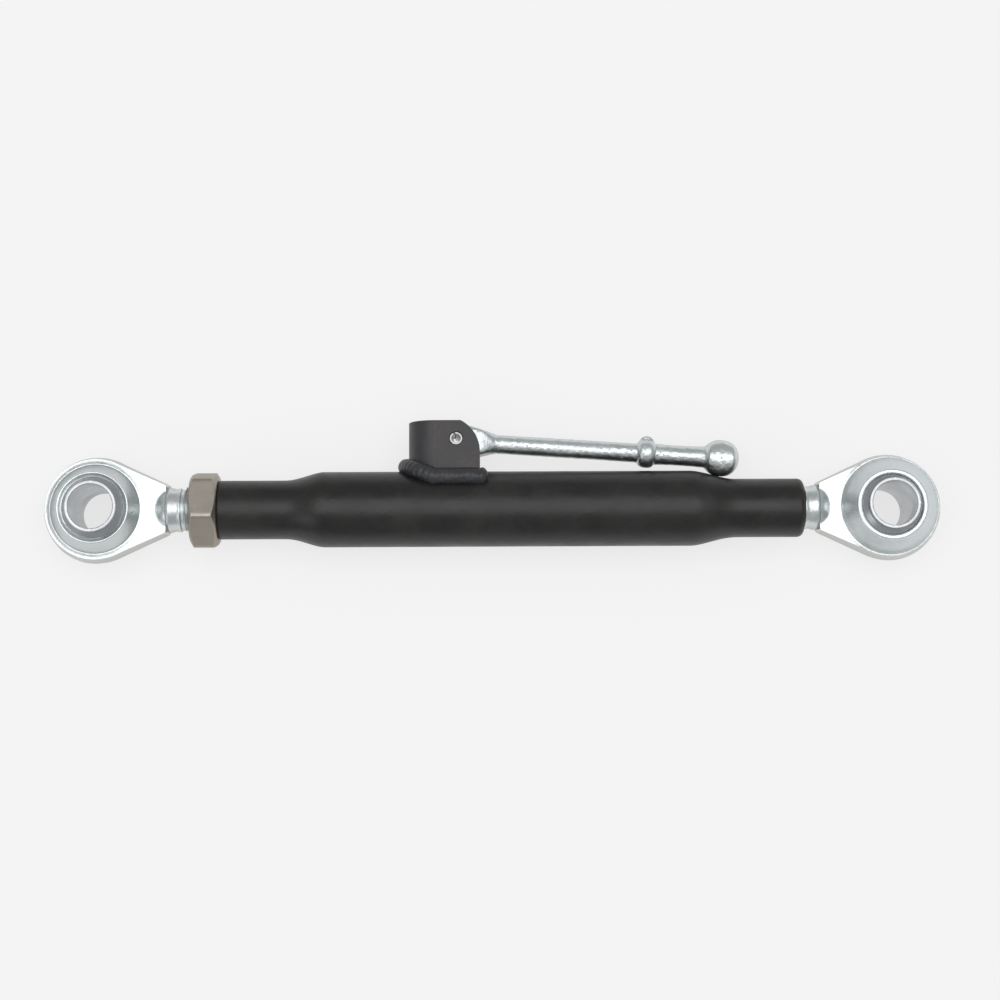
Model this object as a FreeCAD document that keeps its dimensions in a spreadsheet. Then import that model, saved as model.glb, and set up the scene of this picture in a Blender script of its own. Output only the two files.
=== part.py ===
import FreeCAD, Part
import os
import re
import Sketcher

# Category 2 tractor top link with a folding handle, closed to its shortest length and lying flat.
# Origin: centre of the left swivel ball.  +X runs along the link to the right ball, +Z is the axis
# of both ball bores, and +Y points to the side that carries the bracket and the handle.

SIZES = [
    # name, value in mm (or degrees where the meaning says so), meaning
    ("ball_diameter", 50.0, "swivel ball"),
    ("ball_width", 51.0, "swivel ball across its two end faces"),
    ("bore_diameter", 25.7, "hitch pin bore, category 2"),
    ("collar_diameter", 29.4, "plain collar at each end of the ball"),
    ("bore_chamfer", 0.6, "chamfer at each end of the bore"),
    ("collar_chamfer", 0.5, "chamfer round each collar"),
    ("ball_play", 0.05, "running clearance between the ball and its socket"),
    ("rim_wall", 5.95, "wall of the forged eye round its socket, at the parting plane"),
    ("rim_draft", 1.8, "how far the eye and web draw in from parting plane to face"),
    ("web_thickness", 17.0, "flat web and rim of the forging"),
    ("boss_left", 0.95, "base of the left eye's swaged boss, outside its socket"),
    ("boss_right", 3.35, "base of the right eye's swaged boss, outside its socket"),
    ("mouth_inset", 7.37, "mouth of the socket inside its widest radius"),
    ("lip_inset", 5.2, "crest of the swaged lip inside the socket's widest radius"),
    ("lip_land", 0.6, "width of the lip's crest"),
    ("lip_rise", 1.05, "crest of the swaged lip above the mouth of the socket"),
    ("web_reach", 42.6, "eye centre to the tips of the web"),
    ("web_tip_width", 28.4, "web across its tips"),
    ("web_notch", 2.2, "how far the web's end falls back from its tips to the neck"),
    ("neck_diameter", 26.6, "round neck behind the thread"),
    ("nose_reach", 33.8, "eye centre to the front of the neck's rounded nose"),
    ("nose_radius", 9.5, "rounding of the neck's nose"),
    ("thread_diameter", 27.0, "thread of both shanks, left hand and right hand"),
    ("thread_play", 0.08, "running clearance of the threads"),
    ("groove_diameter", 24.0, "run-out groove in front of the thread"),
    ("groove_width", 2.0, "run-out groove"),
    ("thread_start", 51.5, "eye centre to the start of the thread"),
    ("shank_gap", 13.1, "gap between the ends of the two shanks inside the barrel"),
    ("shank_chamfer", 2.0, "chamfer at the end of each shank"),
    ("nut_across_flats", 41.0, "lock nut"),
    ("nut_height", 16.0, "lock nut"),
    ("nut_face_diameter", 38.6, "bearing circle left by the nut's chamfers"),
    ("nut_bevel_angle", 30.0, "degrees, slope of the nut's chamfers"),
    ("nut_countersink", 1.2, "countersink at each end of the nut's thread"),
    ("nut_roll", 15.7, "degrees, turn of the nut's first flat from the bore axis"),
    ("nut_standoff", 3.3, "thread in view between the left neck and the nut"),
    ("barrel_length", 340.5, "barrel tube"),
    ("barrel_diameter", 44.0, "barrel between its swaged ends"),
    ("barrel_bore", 33.0, "bore between the threaded ends"),
    ("end_diameter", 34.2, "swaged ends of the barrel"),
    ("end_length", 39.0, "plain length of each swaged end"),
    ("swage_length", 28.0, "length of each swaged shoulder"),
    ("tapped_length", 44.0, "threaded length at each end of the bore"),
    ("bore_step", 4.0, "length of the taper between the tapped and the plain bore"),
    ("left_chamfer", 0.8, "chamfer of the barrel at the lock nut"),
    ("right_chamfer", 2.9, "chamfer of the barrel's free end"),
    ("neck_sunk", 1.7, "end of the right neck inside the barrel"),
    ("pin_along", 138.3, "barrel's left face to the handle's hinge pin"),
    ("pin_height", 39.8, "barrel axis to the hinge pin"),
    ("bracket_width", 30.0, "handle bracket across its cheeks"),
    ("bracket_plate", 5.5, "plate of the bracket"),
    ("bracket_back", 27.7, "hinge pin to the outside of the bend"),
    ("bracket_front", 13.8, "hinge pin to the front edges of the cheeks"),
    ("bracket_top", 50.4, "barrel axis to the top of the bracket"),
    ("cheek_radius", 20.7, "arc that rounds off the top corner of each cheek"),
    ("cheek_drop", 18.4, "top of the bracket to where that arc leaves the front edge"),
    ("weld_gap", 0.2, "gap between the barrel and what is welded on it"),
    ("weld_size", 7.8, "diameter of the rounded weld bead"),
    ("weld_height", 15.8, "barrel axis to the middle of the bead along the cheeks"),
    ("weld_offset", 1.2, "middle of the bead outside the bracket"),
    ("weld_tilt", 23.0, "degrees, rise of the bead towards the back of the bend"),
    ("weld_inset", 3.2, "middle of the bead's end behind the cheeks' front edges"),
    ("weld_knuckle", 0.3, "extra radius where two runs of the bead meet"),
    ("pin_diameter", 8.0, "slotted spring pin"),
    ("pin_wall", 1.4, "slotted spring pin"),
    ("pin_slot", 1.3, "slot of the spring pin"),
    ("pin_slot_angle", 111.0, "degrees, direction in which the slot faces"),
    ("pin_chamfer", 0.4, "chamfer at each end of the spring pin"),
    ("pin_recess", 0.4, "end of the pin below the outside of each cheek"),
    ("pin_play", 0.06, "clearance of the pin in its holes"),
    ("handle_slope", 3.85, "degrees, how far the folded handle leans towards the barrel"),
    ("tongue_play", 0.8, "gap at each side of the tongue between the cheeks"),
    ("tongue_height", 18.0, "tongue of the handle at the pin"),
    ("tongue_flat", 7.5, "pin to where the tongue starts to narrow"),
    ("tongue_length", 24.0, "pin to the end of the tongue"),
    ("tongue_end", 11.0, "height of the tongue where the shaft starts"),
    ("tongue_rounding", 1.2, "rounded edges of the tongue"),
    ("shaft_start_diameter", 9.8, "shaft of the handle at the tongue"),
    ("shaft_diameter", 10.5, "shaft of the handle at the collar"),
    ("collar_start", 107.0, "pin to the near side of the handle's collar"),
    ("collar_width", 9.0, "collar of the handle"),
    ("collar_rounding", 5.1, "rounding of the collar"),
    ("grip_start_diameter", 12.2, "grip beyond the collar"),
    ("grip_waist_diameter", 11.7, "slimmest part of the grip"),
    ("grip_waist", 130.0, "pin to the slimmest part of the grip"),
    ("knob_diameter", 21.4, "ball knob"),
    ("knob_along", 155.2, "pin to the middle of the knob"),
    ("knob_blend", 6.0, "hollow blend between the grip and the knob"),
    ("knob_throat", 15.0, "diameter of the knob where the blend runs out"),
    ("blend_length", 4.5, "length of that blend"),
    ("lug_radius", 4.6, "rounded lug on top of the collar"),
    ("lug_height", 5.6, "handle axis to the middle of the lug"),
    ("lug_thickness", 6.4, "lug"),
    ("lug_hole", 1.6, "small hole through the lug"),
    ("lug_hole_height", 7.8, "handle axis to the hole in the lug"),
]

document = FreeCAD.newDocument("TopLink")
sheet = document.addObject("Spreadsheet::Sheet", "Sizes")
for row, (name, size, meaning) in enumerate(SIZES, start=1):
    sheet.set(f"A{row}", meaning)
    sheet.set(f"B{row}", str(size))
    sheet.setAlias(f"B{row}", name)
document.recompute()

# Places along the link that several pieces share.
BARREL_START = "(thread_start + nut_standoff + nut_height)"
PIN_ALONG = f"({BARREL_START} + pin_along)"
LINK_LENGTH = f"({BARREL_START} + barrel_length - neck_sunk + thread_start)"
SHANK_LENGTH = "((nut_standoff + nut_height + barrel_length - neck_sunk - shank_gap) / 2)"
SOCKET_RADIUS = "(ball_diameter / 2 + ball_play)"
RIM_RADIUS = f"({SOCKET_RADIUS} + rim_wall)"
TAPPED_RADIUS = "(thread_diameter / 2 + thread_play)"
SADDLE_DIAMETER = "(barrel_diameter + 2 * weld_gap)"


def cells(formula):
    """Expression for a formula: each name with an underscore in it is a cell of the sheet."""
    return re.sub(r"\b[a-z]+(?:_[a-z]+)+\b", r"Sizes.\g<0>", formula)


def value(formula):
    """Present value of a formula."""
    return float(sheet.evalExpression(cells(formula)))


def bind(thing, **formulas):
    """Tie properties of an object to formulas."""
    for name, formula in formulas.items():
        thing.setExpression(name, cells(formula))


def turn(axis, angle):
    """Rotation by an angle in degrees about an axis."""
    return FreeCAD.Rotation(FreeCAD.Vector(*axis), value(angle))


def put(thing, along="0", up="0", out="0", rotation=FreeCAD.Rotation()):
    """Place a thing in the link's frame."""
    thing.Placement = FreeCAD.Placement(
        FreeCAD.Vector(value(along), value(up), value(out)), rotation
    )
    for path, formula in (("Base.x", along), ("Base.y", up), ("Base.z", out)):
        thing.setExpression(f"Placement.{path}", cells(formula))


def new_body(label):
    body = document.addObject("PartDesign::Body", label)
    body.Label = label
    return body


def new_sketch(body, role, name):
    """Sketch on one of the body's own origin planes."""
    sketch = body.newObject("Sketcher::SketchObject", name)
    plane = next(f for f in body.Origin.OriginFeatures if f.Role == role)
    sketch.AttachmentSupport = [(plane, "")]
    sketch.MapMode = "FlatFace"
    return sketch


def drive(sketch, kind, *details):
    """Add a constraint whose last detail is a formula, and tie it to that formula."""
    *places, formula = details
    index = sketch.addConstraint(Sketcher.Constraint(kind, *places, value(formula)))
    sketch.setExpression(f"Constraints[{index}]", cells(formula))


def arc_between(start, end, radius):
    """Arc from start to end; a positive radius has its centre on the left of that run."""
    chord = end - start
    left = FreeCAD.Vector(-chord.y, chord.x, 0).normalize()
    reach = max(radius * radius - chord.Length ** 2 / 4, 0) ** 0.5
    side = 1 if radius > 0 else -1
    centre = start + chord * 0.5 + left * (side * reach)
    middle = centre - left * (side * abs(radius))
    return Part.Arc(start, middle, end)


def outline(sketch, corners):
    """Closed outline.  A corner is (across, up) and, where an arc leaves it, the arc's radius:
    with a minus sign when the arc turns to the right."""
    points = [FreeCAD.Vector(value(c[0]), value(c[1]), 0) for c in corners]
    first = sketch.GeometryCount
    total = len(corners)
    starts = []
    for i, corner in enumerate(corners):
        start, end = points[i], points[(i + 1) % total]
        if len(corner) == 2:
            sketch.addGeometry(Part.LineSegment(start, end))
            starts.append((1, 2))
            continue
        radius = value(corner[2])
        sketch.addGeometry(arc_between(start, end, radius))
        starts.append((1, 2) if radius > 0 else (2, 1))
    for i, corner in enumerate(corners):
        following = (i + 1) % total
        sketch.addConstraint(
            Sketcher.Constraint(
                "Coincident", first + i, starts[i][1], first + following, starts[following][0]
            )
        )
        drive(sketch, "DistanceX", first + i, starts[i][0], corner[0])
        drive(sketch, "DistanceY", first + i, starts[i][0], corner[1])
        if len(corner) == 3:
            drive(sketch, "Radius", first + i, corner[2].lstrip("-"))


def circle(sketch, across, up, diameter):
    centre = FreeCAD.Vector(value(across), value(up), 0)
    index = sketch.addGeometry(
        Part.Circle(centre, FreeCAD.Vector(0, 0, 1), value(diameter) / 2)
    )
    drive(sketch, "DistanceX", index, 3, across)
    drive(sketch, "DistanceY", index, 3, up)
    drive(sketch, "Diameter", index, diameter)


def feature(body, kind, sketch, **formulas):
    made = body.newObject(f"PartDesign::{kind}", f"{body.Label}_{kind}")
    made.Profile = sketch
    bind(made, **formulas)
    return made


def turned(body, kind, sketch, axis):
    """Revolution or groove of a sketch, all the way round one of its axes."""
    made = feature(body, kind, sketch)
    made.ReferenceAxis = (sketch, [axis])
    made.Angle = 360
    return made


def through(body, sketch):
    """Pocket right through the body, to both sides of its sketch."""
    cut = feature(body, "Pocket", sketch)
    cut.Type = "ThroughAll"
    cut.SideType = "Symmetric"
    return cut


def dress(body, kind, base, wanted, **formulas):
    """Fillet or chamfer on the edges of a feature that a test picks."""
    document.recompute()
    edges = [f"Edge{i}" for i, edge in enumerate(base.Shape.Edges, start=1) if wanted(edge)]
    made = body.newObject(f"PartDesign::{kind}", f"{body.Label}_{kind}")
    made.Base = (base, edges)
    bind(made, **formulas)
    return made


def swivel_ball(label, along):
    """Ball with a bore and a plain collar at each end."""
    body = new_body(label)
    section = new_sketch(body, "XZ_Plane", f"{label}_section")
    bore, collar = "bore_diameter / 2", "collar_diameter / 2"
    face = "ball_width / 2"
    seat = "sqrt(ball_diameter ^ 2 - collar_diameter ^ 2) / 2"
    outline(section, [
        (bore, f"-({face} - bore_chamfer)"),
        (f"{bore} + bore_chamfer", f"-({face})"),
        (f"{collar} - collar_chamfer", f"-({face})"),
        (collar, f"-({face} - collar_chamfer)"),
        (collar, f"-({seat})", "ball_diameter / 2"),
        ("ball_diameter / 2", "0", "ball_diameter / 2"),
        (collar, seat),
        (collar, f"{face} - collar_chamfer"),
        (f"{collar} - collar_chamfer", face),
        (f"{bore} + bore_chamfer", face),
        (bore, f"{face} - bore_chamfer"),
    ])
    turned(body, "Revolution", section, "V_Axis")
    put(body, along=along)
    return body


def eye_section(sketch, boss):
    """Half section of the eye: socket, swaged lips, boss and drafted rim."""
    mouth, crest = f"({SOCKET_RADIUS} - mouth_inset)", f"({SOCKET_RADIUS} - lip_inset)"
    half = f"sqrt({SOCKET_RADIUS} ^ 2 - {mouth} ^ 2)"
    land, base = f"{crest} + lip_land", f"{SOCKET_RADIUS} + {boss}"
    top, web = f"{half} + lip_rise", "web_thickness / 2"
    rim, face = RIM_RADIUS, f"{RIM_RADIUS} - rim_draft"
    side = "((web_thickness / 2) ^ 2 + rim_draft ^ 2) / (2 * rim_draft)"
    outline(sketch, [
        (mouth, f"-({half})"),
        (crest, f"-({top})"),
        (land, f"-({top})"),
        (base, f"-({web})"),
        (face, f"-({web})", side),
        (rim, "0", side),
        (face, web),
        (base, web),
        (land, top),
        (crest, top),
        (mouth, half, f"-{SOCKET_RADIUS}"),
        (SOCKET_RADIUS, "0", f"-{SOCKET_RADIUS}"),
    ])


def shank_section(sketch):
    """Half section of the neck with its rounded nose, the run-out groove and the shank."""
    neck, shank = "neck_diameter / 2", "thread_diameter / 2"
    groove = "groove_diameter / 2"
    finish = f"thread_start + {SHANK_LENGTH}"
    outline(sketch, [
        ("nose_reach", "0"),
        (f"{finish}", "0"),
        (f"{finish}", f"{shank} - shank_chamfer"),
        (f"{finish} - shank_chamfer", shank),
        ("thread_start + (thread_diameter - groove_diameter) / 2", shank),
        ("thread_start", groove),
        ("thread_start - groove_width", groove),
        ("thread_start - groove_width", neck),
        ("nose_reach + nose_radius", neck, "nose_radius"),
        ("nose_reach", f"{neck} - nose_radius"),
    ])


def web_outline(sketch):
    """Web that runs from the rim to the neck, with a small barb at each side of the neck."""
    rim, tip = RIM_RADIUS, "web_tip_width / 2"
    reach = "sqrt(web_reach ^ 2 + (web_tip_width / 2) ^ 2)"
    turn = f"(acos({rim} / {reach}) + atan(web_tip_width / 2 / web_reach))"
    across, up = f"{rim} * cos({turn})", f"{rim} * sin({turn})"
    inner = "neck_diameter / 2 - rim_draft"
    outline(sketch, [
        (across, f"-({up})"),
        ("web_reach", f"-({tip})"),
        ("web_reach - web_notch", f"-({inner})"),
        ("web_reach - web_notch", inner),
        ("web_reach", tip),
        (across, up),
    ])


def ball_end(label, boss, along, angle):
    """Forged eye, web, neck and threaded shank; the thread itself is drawn as its outside."""
    body = new_body(label)
    web = new_sketch(body, "XY_Plane", f"{label}_web")
    web_outline(web)
    plate = feature(body, "Pad", web, Length="web_thickness / 2", Length2="web_thickness / 2")
    plate.SideType = "Two sides"
    draft = "-atan(rim_draft / (web_thickness / 2))"
    bind(plate, TaperAngle=draft, TaperAngle2=draft)
    shank = new_sketch(body, "XZ_Plane", f"{label}_shank")
    shank_section(shank)
    turned(body, "Revolution", shank, "H_Axis")
    room = new_sketch(body, "XZ_Plane", f"{label}_socket")
    outline(room, [
        ("0", f"-{SOCKET_RADIUS}", SOCKET_RADIUS),
        (SOCKET_RADIUS, "0", SOCKET_RADIUS),
        ("0", SOCKET_RADIUS),
    ])
    turned(body, "Groove", room, "V_Axis")
    eye = new_sketch(body, "XZ_Plane", f"{label}_eye")
    eye_section(eye, boss)
    turned(body, "Revolution", eye, "V_Axis")
    put(body, along=along, rotation=turn((0, 0, 1), angle))
    return body


def lock_nut():
    """Hexagon nut, bevelled and countersunk on both faces."""
    body = new_body("lock_nut")
    flats = new_sketch(body, "YZ_Plane", "lock_nut_flats")
    corner = "nut_across_flats / 2 / cos(30)"
    outline(flats, [
        (f"{corner} * cos({turn})", f"{corner} * sin({turn})") for turn in range(0, 360, 60)
    ])
    feature(body, "Pad", flats, Length="nut_height")
    bore = new_sketch(body, "XZ_Plane", "lock_nut_bore")
    mouth = f"{TAPPED_RADIUS} + nut_countersink"
    outline(bore, [
        ("0", "0"),
        ("nut_height", "0"),
        ("nut_height", mouth),
        ("nut_height - nut_countersink", TAPPED_RADIUS),
        ("nut_countersink", TAPPED_RADIUS),
        ("0", mouth),
    ])
    turned(body, "Groove", bore, "H_Axis")
    bevel = new_sketch(body, "XZ_Plane", "lock_nut_bevel")
    ring, outside = "nut_face_diameter / 2", "nut_across_flats"
    depth = f"({outside} - {ring}) * tan(nut_bevel_angle)"
    outline(bevel, [("0", ring), (depth, outside), ("0", outside)])
    outline(bevel, [
        ("nut_height", ring),
        ("nut_height", outside),
        (f"nut_height - {depth}", outside),
    ])
    turned(body, "Groove", bevel, "H_Axis")
    put(body, along="thread_start + nut_standoff", rotation=turn((1, 0, 0), "-nut_roll"))
    return body


def barrel_tube():
    """Tube swaged down at both ends, with a left-hand and a right-hand tapped end."""
    body = new_body("barrel_tube")
    section = new_sketch(body, "XZ_Plane", "barrel_section")
    thin, thick = "end_diameter / 2", "barrel_diameter / 2"
    middle = f"({thin} + {thick}) / 2"
    step = "(barrel_diameter - end_diameter) / 2"
    bend = f"(swage_length ^ 2 + ({step}) ^ 2) / (4 * ({step}))"
    far = "barrel_length"
    outline(section, [
        ("0", TAPPED_RADIUS),
        ("tapped_length", TAPPED_RADIUS),
        ("tapped_length + bore_step", "barrel_bore / 2"),
        (f"{far} - tapped_length - bore_step", "barrel_bore / 2"),
        (f"{far} - tapped_length", TAPPED_RADIUS),
        (far, TAPPED_RADIUS),
        (far, f"{thin} - right_chamfer"),
        (f"{far} - right_chamfer", thin),
        (f"{far} - end_length", thin, f"-{bend}"),
        (f"{far} - end_length - swage_length / 2", middle, bend),
        (f"{far} - end_length - swage_length", thick),
        ("end_length + swage_length", thick, bend),
        ("end_length + swage_length / 2", middle, f"-{bend}"),
        ("end_length", thin),
        ("left_chamfer", thin),
        ("0", f"{thin} - left_chamfer"),
    ])
    turned(body, "Revolution", section, "H_Axis")
    put(body, along=BARREL_START)
    return body


def bracket_plan(sketch):
    """Plate bent into a U, seen along the barrel's radius: closed behind and open in front."""
    outer, inner = "bracket_width / 2", "(bracket_width / 2 - bracket_plate)"
    bend = "(bracket_width / 2 - bracket_back)"
    outline(sketch, [
        ("bracket_front", outer),
        (bend, outer, outer),
        ("-bracket_back", "0", outer),
        (bend, f"-{outer}"),
        ("bracket_front", f"-{outer}"),
        ("bracket_front", f"-{inner}"),
        (bend, f"-{inner}", f"-{inner}"),
        ("bracket_plate - bracket_back", "0", f"-{inner}"),
        (bend, inner),
        ("bracket_front", inner),
    ])


def handle_bracket():
    """U-bent plate with rounded cheeks, cut to sit on the barrel, and drilled for the pin."""
    body = new_body("handle_bracket")
    plan = new_sketch(body, "XZ_Plane", "bracket_plan")
    bracket_plan(plan)
    strip = feature(body, "Pad", plan, Length="bracket_top")
    strip.Reversed = True
    seat = new_sketch(body, "YZ_Plane", "bracket_seat")
    circle(seat, "0", "0", SADDLE_DIAMETER)
    through(body, seat)
    hole = new_sketch(body, "XY_Plane", "bracket_pin_hole")
    circle(hole, "0", "pin_height", "pin_diameter + 2 * pin_play")
    through(body, hole)
    corner = new_sketch(body, "XY_Plane", "bracket_corner")
    front, over = "bracket_front + bracket_plate", "bracket_top + bracket_plate"
    level = "bracket_top - cheek_drop"
    meets = "bracket_front - cheek_radius + sqrt(cheek_radius ^ 2 - cheek_drop ^ 2)"
    outline(corner, [
        ("bracket_front", level, "cheek_radius"),
        (meets, "bracket_top"),
        (meets, over),
        (front, over),
        (front, level),
    ])
    through(body, corner)
    put(body, along=PIN_ALONG)
    return body


def part_box(kind, name, **formulas):
    made = document.addObject(f"Part::{kind}", name)
    bind(made, **formulas)
    return made


def bracket_weld():
    """Fillet weld round the foot of the bracket: a run along each cheek and one round the bend."""
    radius = "weld_size / 2"
    offset = "(bracket_width / 2 + weld_offset)"
    bend = f"{PIN_ALONG} - bracket_back + bracket_width / 2"
    front = f"{PIN_ALONG} + bracket_front - weld_inset"
    runs = []
    for side, out in (("front", offset), ("rear", f"-{offset}")):
        run = part_box(
            "Cylinder", f"weld_run_{side}", Radius=radius, Height=f"({front}) - ({bend})"
        )
        put(run, bend, "weld_height", out, turn((0, 1, 0), "90"))
        knuckle = part_box("Sphere", f"weld_knuckle_{side}", Radius=f"{radius} + weld_knuckle")
        put(knuckle, bend, "weld_height", out)
        tip = part_box("Sphere", f"weld_tip_{side}", Radius=f"{radius} - weld_knuckle")
        put(tip, front, "weld_height", out)
        runs += [run, knuckle, tip]
    heel = part_box("Torus", "weld_heel", Radius1=offset, Radius2=radius)
    heel.Angle3 = 180
    flat = FreeCAD.Rotation(
        FreeCAD.Vector(0, 0, 1), FreeCAD.Vector(-1, 0, 0), FreeCAD.Vector(0, -1, 0), "XYZ"
    )
    put(heel, bend, "weld_height", "0", turn((0, 0, 1), "-weld_tilt").multiply(flat))
    runs.append(heel)
    bead = document.addObject("Part::MultiFuse", "weld_bead")
    bead.Shapes = runs
    room = document.addObject("Part::MultiFuse", "weld_room")
    block = part_box(
        "Box",
        "weld_block",
        Length=f"{front} - ({bend}) + weld_size",
        Width="bracket_top",
        Height="bracket_width",
    )
    put(block, bend, "0", "-bracket_width / 2")
    back = part_box("Cylinder", "weld_back", Radius="bracket_width / 2", Height="bracket_top")
    put(back, bend, "0", "0", turn((1, 0, 0), "-90"))
    tube = part_box("Cylinder", "weld_tube", Radius=f"{SADDLE_DIAMETER} / 2", Height=LINK_LENGTH)
    put(tube, rotation=turn((0, 1, 0), "90"))
    room.Shapes = [block, back, tube]
    weld = document.addObject("Part::Cut", "bracket_weld")
    weld.Label = "bracket_weld"
    weld.Base = bead
    weld.Tool = room
    return weld


def handle_pin():
    """Slotted spring pin."""
    body = new_body("handle_pin")
    ring = new_sketch(body, "XY_Plane", "pin_ring")
    circle(ring, "0", "0", "pin_diameter")
    circle(ring, "0", "0", "pin_diameter - 2 * pin_wall")
    tube = feature(body, "Pad", ring, Length="bracket_width - 2 * pin_recess")
    tube.SideType = "Symmetric"
    outside = value("pin_diameter / 2")

    def rim(edge):
        return isinstance(edge.Curve, Part.Circle) and abs(edge.Curve.Radius - outside) < 0.01

    bevelled = dress(body, "Chamfer", tube, rim, Size="pin_chamfer")
    slot = new_sketch(body, "XY_Plane", "pin_slot")
    half, edge = "pin_slot / 2", "pin_diameter"
    outline(slot, [("0", f"-{half}"), (edge, f"-{half}"), (edge, half), ("0", half)])
    through(body, slot)
    put(body, PIN_ALONG, "pin_height", "0", turn((0, 0, 1), "pin_slot_angle"))
    return body


def handle_profile(sketch):
    """Half section of the round part: shaft, collar, waisted grip and ball knob."""
    collar_end = "collar_start + collar_width"
    throat = "knob_along - sqrt(knob_diameter ^ 2 - knob_throat ^ 2) / 2"
    outline(sketch, [
        ("tongue_length - tongue_end / 2", "0"),
        ("knob_along + knob_diameter / 2", "0", "knob_diameter / 2"),
        ("knob_along", "knob_diameter / 2", "knob_diameter / 2"),
        (throat, "knob_throat / 2", "-knob_blend"),
        (f"{throat} - blend_length", "grip_start_diameter / 2"),
        ("grip_waist", "grip_waist_diameter / 2"),
        (collar_end, "grip_start_diameter / 2", "collar_rounding"),
        ("collar_start", "shaft_diameter / 2"),
        ("tongue_length", "shaft_start_diameter / 2"),
        ("tongue_length - tongue_end / 2", "shaft_start_diameter / 2"),
    ])


def tongue_outline(sketch):
    """Flat end of the handle, rounded behind the pin and narrowing to the shaft."""
    half, end = "tongue_height / 2", "tongue_end / 2"
    outline(sketch, [
        ("0", f"-{half}"),
        ("tongue_flat", f"-{half}"),
        ("tongue_length", f"-{end}"),
        ("tongue_length", end),
        ("tongue_flat", half),
        ("0", half, half),
        (f"-{half}", "0", half),
    ])


def handle():
    """Forged folding handle, modelled straight from its pin and then laid against the barrel."""
    body = new_body("handle")
    flat = new_sketch(body, "XY_Plane", "handle_tongue")
    tongue_outline(flat)
    thickness = "bracket_width - 2 * bracket_plate - 2 * tongue_play"
    tongue = feature(body, "Pad", flat, Length=thickness)
    tongue.SideType = "Symmetric"
    level = value(thickness) / 2

    def face_edge(edge):
        return abs(abs(edge.CenterOfMass.z) - level) < 0.01

    dress(body, "Fillet", tongue, face_edge, Radius="tongue_rounding")
    section = new_sketch(body, "XY_Plane", "handle_section")
    handle_profile(section)
    turned(body, "Revolution", section, "H_Axis")
    lug = new_sketch(body, "XY_Plane", "handle_lug")
    middle = "collar_start + collar_width / 2"
    circle(lug, middle, "lug_height", "2 * lug_radius")
    feature(body, "Pad", lug, Length="lug_thickness").SideType = "Symmetric"
    holes = new_sketch(body, "XY_Plane", "handle_holes")
    circle(holes, "0", "0", "pin_diameter + 2 * pin_play")
    circle(holes, middle, "lug_hole_height", "lug_hole")
    through(body, holes)
    put(body, PIN_ALONG, "pin_height", "0", turn((0, 0, 1), "-handle_slope"))
    return body


def check(parts):
    """Stop if any object failed, or if a piece isn't one sound solid."""
    document.recompute()
    for thing in document.Objects:
        if {"Invalid", "Error"} & set(thing.State):
            raise RuntimeError(f"{thing.Label} failed: {thing.State}")
    for part in parts:
        if part.Shape.isNull() or not part.Shape.isValid() or len(part.Shape.Solids) != 1:
            raise RuntimeError(f"{part.Label} is not one valid solid")


parts = [
    ball_end("left_ball_end", "boss_left", "0", "0"),
    swivel_ball("left_ball", "0"),
    lock_nut(),
    barrel_tube(),
    handle_bracket(),
    bracket_weld(),
    handle_pin(),
    handle(),
    ball_end("right_ball_end", "boss_right", LINK_LENGTH, "180"),
    swivel_ball("right_ball", LINK_LENGTH),
]
check(parts)
os.makedirs("parts", exist_ok=True)
for part in parts:
    part.Shape.exportStep(f"parts/{part.Label}.step")
    box = part.Shape.BoundBox
    print(
        f"{part.Label}: {part.Shape.Volume:.0f} mm3, "
        f"X {box.XMin:.1f}..{box.XMax:.1f} Y {box.YMin:.1f}..{box.YMax:.1f} "
        f"Z {box.ZMin:.1f}..{box.ZMax:.1f}"
    )
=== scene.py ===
import math

import bmesh
import bpy
import numpy as np
from bpy.props import FloatProperty, FloatVectorProperty, PointerProperty
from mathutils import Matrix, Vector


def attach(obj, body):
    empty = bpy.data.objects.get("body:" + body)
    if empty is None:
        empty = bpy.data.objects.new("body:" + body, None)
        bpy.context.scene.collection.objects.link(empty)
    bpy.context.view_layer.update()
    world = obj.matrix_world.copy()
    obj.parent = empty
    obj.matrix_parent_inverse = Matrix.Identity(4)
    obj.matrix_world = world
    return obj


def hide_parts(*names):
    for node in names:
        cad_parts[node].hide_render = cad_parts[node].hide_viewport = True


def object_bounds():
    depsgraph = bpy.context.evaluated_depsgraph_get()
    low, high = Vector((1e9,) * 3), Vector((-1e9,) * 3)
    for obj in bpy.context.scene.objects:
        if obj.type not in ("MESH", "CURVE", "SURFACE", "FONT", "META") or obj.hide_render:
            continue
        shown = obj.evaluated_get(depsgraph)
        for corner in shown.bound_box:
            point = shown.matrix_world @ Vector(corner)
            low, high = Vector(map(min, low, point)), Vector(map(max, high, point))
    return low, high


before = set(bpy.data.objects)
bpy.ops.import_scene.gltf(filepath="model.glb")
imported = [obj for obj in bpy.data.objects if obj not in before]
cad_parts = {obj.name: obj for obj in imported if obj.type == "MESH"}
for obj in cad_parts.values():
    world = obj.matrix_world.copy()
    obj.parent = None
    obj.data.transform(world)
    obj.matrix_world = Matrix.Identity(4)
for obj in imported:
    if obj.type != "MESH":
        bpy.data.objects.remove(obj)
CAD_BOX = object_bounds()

bl_info = {
    "name": "Tractor Top Link",
    "version": (1, 0, 0),
    "blender": (4, 5, 0),
    "location": "3D View > Sidebar > Top Link",
    "description": "Builds a tractor top link with a folding handle, its finishes and a pale studio",
    "category": "Object",
}

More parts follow.
